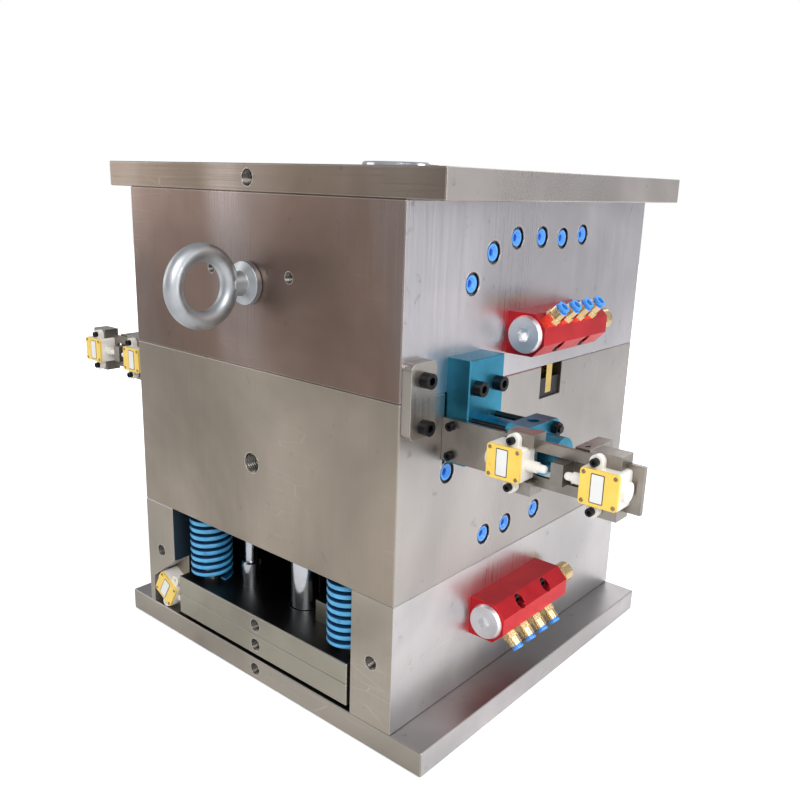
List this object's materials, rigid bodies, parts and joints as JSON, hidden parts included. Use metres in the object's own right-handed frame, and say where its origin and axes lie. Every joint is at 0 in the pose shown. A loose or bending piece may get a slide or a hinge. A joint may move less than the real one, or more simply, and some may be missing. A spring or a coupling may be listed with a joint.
{
  "type": "injection mould base",
  "caption": "Two-half injection mould with spring-returned ejector plates, hydraulic core pulls with limit switches, water manifolds, eye bolt and transport strap.",
  "frame": {"origin": "centre of the bottom clamp plate's underside, on the mould's opening axis", "axes": "+Z along the opening direction toward the fixed half, +X to the side with the water manifolds and the strap, -Y to the front with the eye bolt"},
  "size_m": [0.9, 0.619, 0.64],
  "materials": {
    "black_plastic": "matt",
    "black_screw": "black oxide",
    "blue_plastic": "gloss",
    "brass": "turned",
    "bright_steel": "ground bright",
    "cyan_paint": "satin paint",
    "gold_coating": "hard coated",
    "grey_steel": "cut steel",
    "ground_steel": "ground satin",
    "insert_steel": "machined",
    "ivory_plastic": "matt",
    "nitrided": "nitrided",
    "plug_alu": "bright",
    "red_anodised": "red anodised",
    "spring_blue": "gloss paint",
    "yellow_plastic": "gloss",
    "zinc": "galvanised"
  },
  "bodies": {
    "moving_half": {"bottom_clamp_plate": "ground_steel", "left_spacer_block": "ground_steel", "right_spacer_block": "ground_steel", "b_plate": "ground_steel", "b_insert": "insert_steel", "guide_pins": "bright_steel", "support_pillars": "bright_steel", "rest_buttons": "bright_steel", "moving_half_screws": "black_screw", "lower_manifold": "red_anodised", "lower_manifold_plug": "plug_alu", "lower_manifold_fittings": "brass", "b_side_ports": "black_plastic", "b_side_collets": "blue_plastic", "side_lock_body": "nitrided", "ejector_switch_body": "ivory_plastic", "ejector_switch_cover": "yellow_plastic"},
    "fixed_half": {"top_clamp_plate": "ground_steel", "a_plate": "ground_steel", "a_insert": "insert_steel", "guide_bushings": "bright_steel", "sprue_bushing": "bright_steel", "locating_ring": "bright_steel", "eye_bolt": "zinc", "fixed_half_screws": "black_screw", "upper_manifold": "red_anodised", "upper_manifold_plug": "plug_alu", "upper_manifold_fittings": "brass", "a_side_ports": "black_plastic", "a_side_collets": "blue_plastic", "side_lock_tongue": "gold_coating", "cylinder_blocks": "cyan_paint", "cylinder_barrels": "cyan_paint", "cylinder_rear_caps": "cyan_paint", "tie_rods": "black_screw", "switch_brackets": "grey_steel", "switch_bodies": "ivory_plastic", "switch_covers": "yellow_plastic", "switch_clamps": "grey_steel"},
    "ejector": {"retainer_plate": "ground_steel", "ejector_plate": "ground_steel", "return_pins": "bright_steel", "ejector_pins": "bright_steel", "ejector_guide_bushings": "bright_steel", "return_springs": "spring_blue", "stroke_stops": "ground_steel", "ejector_plate_screws": "black_screw"},
    "strap": {"transport_strap": "ground_steel", "strap_release_screw": "black_screw"},
    "right_core_pull": {"right_piston_rod": "bright_steel", "right_side_core": "insert_steel", "right_dog": "grey_steel"},
    "left_core_pull": {"left_piston_rod": "bright_steel", "left_side_core": "insert_steel", "left_dog": "grey_steel"},
    "right_inner_plunger": {"right_inner_plunger": "ivory_plastic"},
    "right_outer_plunger": {"right_outer_plunger": "ivory_plastic"},
    "left_inner_plunger": {"left_inner_plunger": "ivory_plastic"},
    "left_outer_plunger": {"left_outer_plunger": "ivory_plastic"},
    "ejector_switch_plunger": {"ejector_switch_plunger": "ivory_plastic"}
  },
  "joints": [
    {"name": "mould_opening", "type": "slide", "parent": "moving_half", "child": "fixed_half", "axis": [0, 0, 1], "range_m": [0, 0.25]},
    {"name": "ejection", "type": "slide", "parent": "moving_half", "child": "ejector", "axis": [0, 0, 1], "range_m": [0, 0.04], "deforming": ["return_springs"]},
    {"name": "right_core_stroke", "type": "slide", "parent": "fixed_half", "child": "right_core_pull", "axis": [-1, 0, 0], "range_m": [0, 0.0045]},
    {"name": "left_core_stroke", "type": "slide", "parent": "fixed_half", "child": "left_core_pull", "axis": [1, 0, 0], "range_m": [0, 0.0045]},
    {"name": "strap_swing", "type": "hinge", "parent": "fixed_half", "child": "strap", "pos_m": [0.2311, -0.233, 0.429], "axis": [1, 0, 0], "range_deg": [-90, 0]},
    {"name": "right_inner_press", "type": "slide", "parent": "fixed_half", "child": "right_inner_plunger", "axis": [-1, 0, 0], "range_m": [0, 0.004], "stiffness_N_per_m": 400},
    {"name": "right_outer_press", "type": "slide", "parent": "fixed_half", "child": "right_outer_plunger", "axis": [1, 0, 0], "range_m": [0, 0.002], "stiffness_N_per_m": 400},
    {"name": "left_inner_press", "type": "slide", "parent": "fixed_half", "child": "left_inner_plunger", "axis": [1, 0, 0], "range_m": [0, 0.004], "stiffness_N_per_m": 400},
    {"name": "left_outer_press", "type": "slide", "parent": "fixed_half", "child": "left_outer_plunger", "axis": [-1, 0, 0], "range_m": [0, 0.002], "stiffness_N_per_m": 400},
    {"name": "ejector_switch_press", "type": "slide", "parent": "moving_half", "child": "ejector_switch_plunger", "axis": [-0.866, 0, 0.5], "range_m": [0, 0.003], "stiffness_N_per_m": 400}
  ],
  "couplings": [
    {"joint": "ejection", "follows": "mould_opening", "ratio": 0.16}
  ]
}
